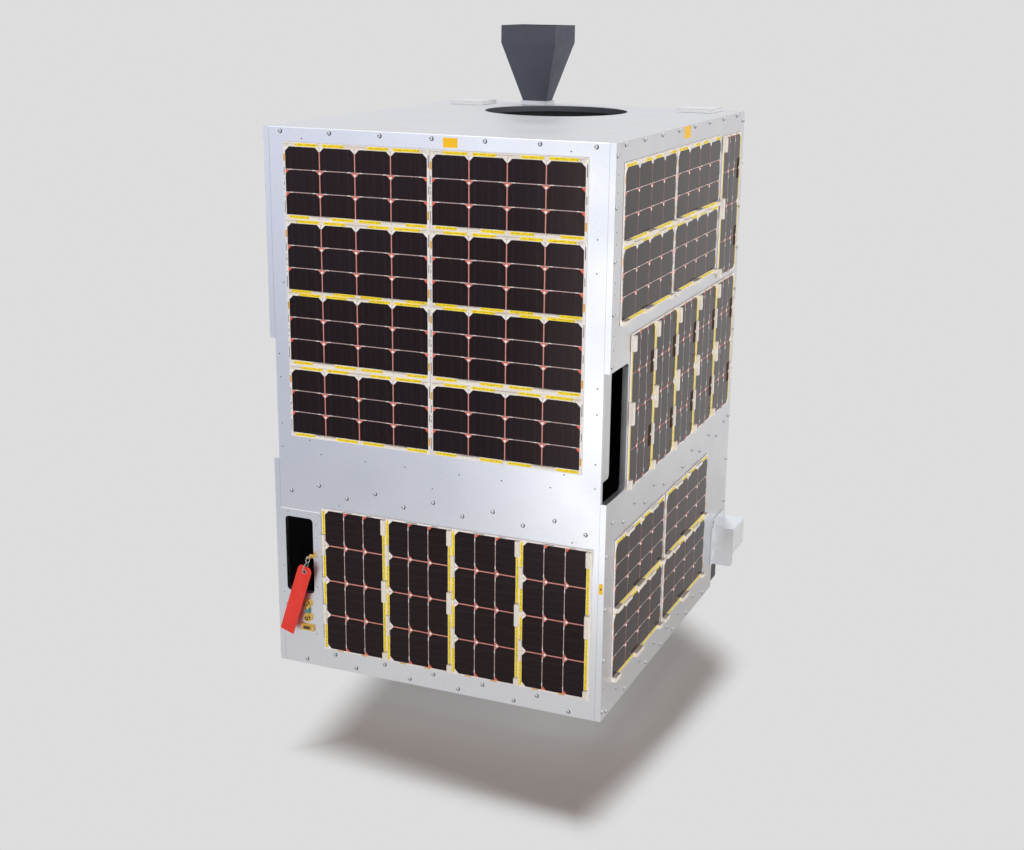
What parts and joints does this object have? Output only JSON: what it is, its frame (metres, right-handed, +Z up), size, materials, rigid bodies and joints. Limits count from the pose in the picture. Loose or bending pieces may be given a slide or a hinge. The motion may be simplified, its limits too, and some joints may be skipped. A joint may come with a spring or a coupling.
{
  "type": "box-bodied observation microsatellite",
  "caption": "Box-bodied Earth-observation microsatellite with body-mounted solar modules, telescope aperture, horn and patch antennas, a corner hood and a red pull tag, on its separation ring.",
  "frame": {"origin": "centre of the separation ring's lower face, midway between the side panels and between the front and back panels", "axes": "+Z up, from the separation ring to the telescope's aperture; -Y out of the front face with the service window and the pull tag; +X out of the right side with the corner hood"},
  "size_m": [0.7236, 0.8454, 1.2581],
  "materials": {
    "panel_aluminium": "satin",
    "deck_aluminium": "satin",
    "ring_aluminium": "machined",
    "bright_aluminium": "polished",
    "black_coating": "matt",
    "coated_glass": "coated",
    "white_laminate": "satin",
    "solar_cells": "cover glass over dark cells",
    "gold_plating": "plated",
    "wire_steel": "polished wire",
    "red_cloth": "coated cloth"
  },
  "bodies": {
    "body": {"right_side_panel": "panel_aluminium", "left_side_panel": "panel_aluminium", "front_panel": "panel_aluminium", "back_panel": "panel_aluminium", "top_deck": "deck_aluminium", "mid_shelf": "deck_aluminium", "base_deck": "deck_aluminium", "separation_ring": "ring_aluminium", "telescope_barrel": "black_coating", "objective_lens": "coated_glass", "telescope_body": "black_coating", "horn_antenna": "black_coating", "horn_pedestal": "deck_aluminium", "patch_antenna_left": "white_laminate", "patch_antenna_right": "white_laminate", "right_slot_bracket": "deck_aluminium", "left_slot_bracket": "deck_aluminium", "notch_unit": "black_coating", "corner_hood": "bright_aluminium", "service_plate": "panel_aluminium", "key_sockets": "gold_plating", "data_connector": "gold_plating", "gold_fitting": "gold_plating", "front_array_left": "solar_cells", "front_array_right": "solar_cells", "front_array_lower": "solar_cells", "back_array_left": "solar_cells", "back_array_right": "solar_cells", "back_array_lower": "solar_cells", "right_array_upper_fore": "solar_cells", "right_array_upper_aft": "solar_cells", "right_array_corner": "solar_cells", "right_array_middle": "solar_cells", "right_array_lower_fore": "solar_cells", "right_array_lower_aft": "solar_cells", "left_array_upper_fore": "solar_cells", "left_array_upper_aft": "solar_cells", "left_array_corner": "solar_cells", "left_array_middle": "solar_cells", "left_array_lower_fore": "solar_cells", "left_array_lower_aft": "solar_cells"},
    "clip": {"tag_clip": "wire_steel"},
    "tag": {"pull_tag": "red_cloth"}
  },
  "joints": [
    {"name": "clip_swing", "type": "hinge", "parent": "body", "child": "clip", "pos_m": [-0.2549, -0.4212, 0.2887], "axis": [0, 1, 0], "range_deg": [-78, 42]},
    {"name": "tag_lift", "type": "hinge", "parent": "clip", "child": "tag", "pos_m": [-0.26124, -0.4212, 0.26952], "axis": [-0.9494, 0, 0.314], "range_deg": [0, 75]}
  ]
}
